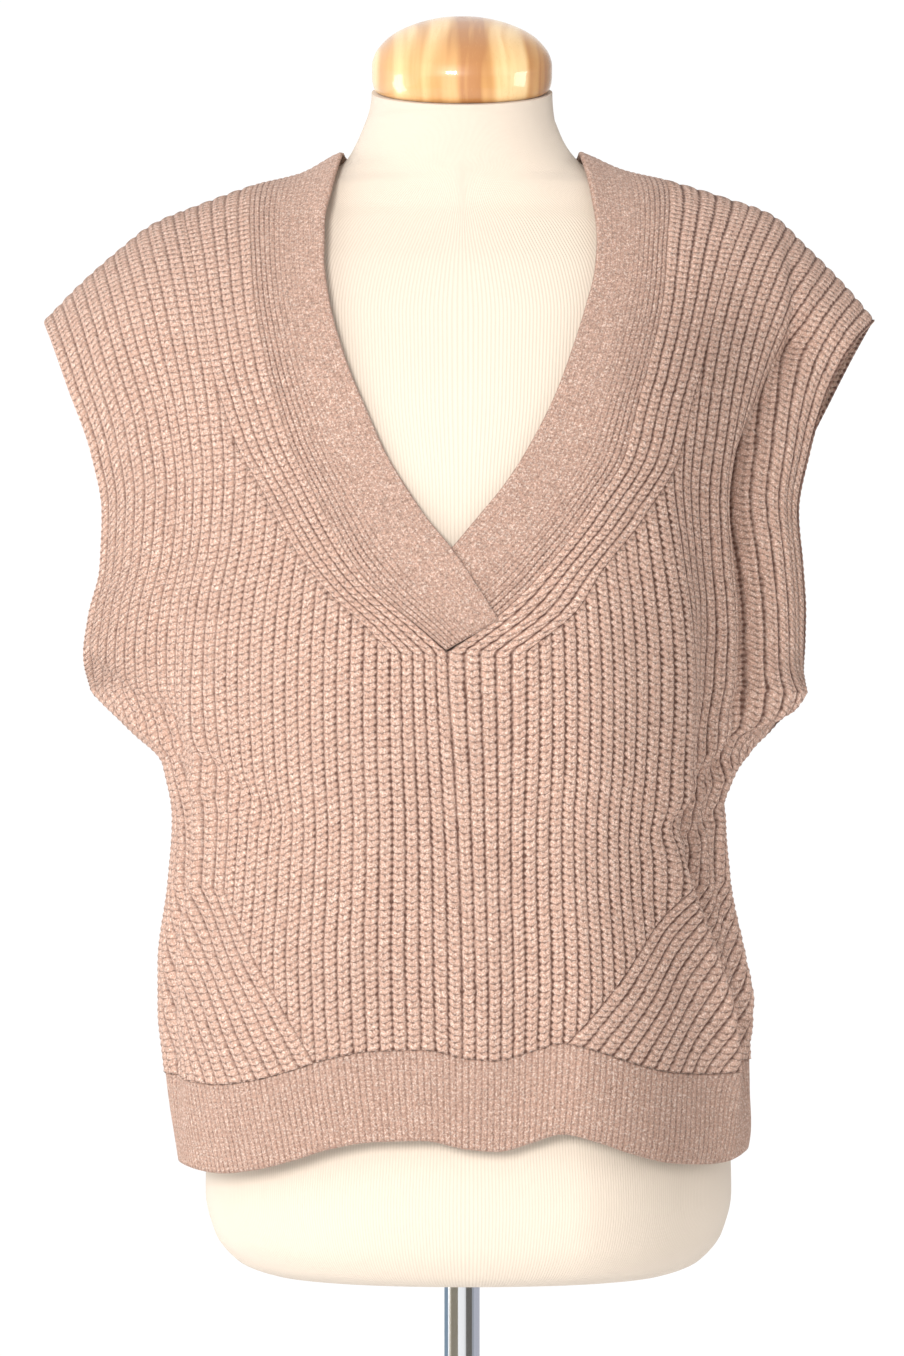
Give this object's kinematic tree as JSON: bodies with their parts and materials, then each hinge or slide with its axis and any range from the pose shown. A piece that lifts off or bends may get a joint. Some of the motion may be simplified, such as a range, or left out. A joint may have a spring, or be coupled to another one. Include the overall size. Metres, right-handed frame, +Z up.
{
  "type": "sleeveless rib knit pullover on a dress form",
  "caption": "Sleeveless V-neck pullover in wide rib knit with a fine rib hem and lapped neck band, resting on a limbless dress form with a turned wood cap, chrome pole and round base.",
  "frame": {"origin": "centre of the base plate's underside, on the pole's axis", "axes": "+Z up along the pole, -Y towards the garment's front, +X towards the right side of the picture"},
  "size_m": [0.5189, 0.3059, 1.5665],
  "materials": {
    "knit": "soft heathered wool",
    "jersey": "stretched cream jersey",
    "pine": "clear gloss varnish",
    "chrome": "polished"
  },
  "bodies": {
    "root": {"front": "knit", "back": "knit", "hem_front": "knit", "hem_back": "knit", "neck_band": "knit", "form_torso": "jersey", "neck_cap": "pine", "pole": "chrome", "base": "chrome"}
  },
  "joints": []
}
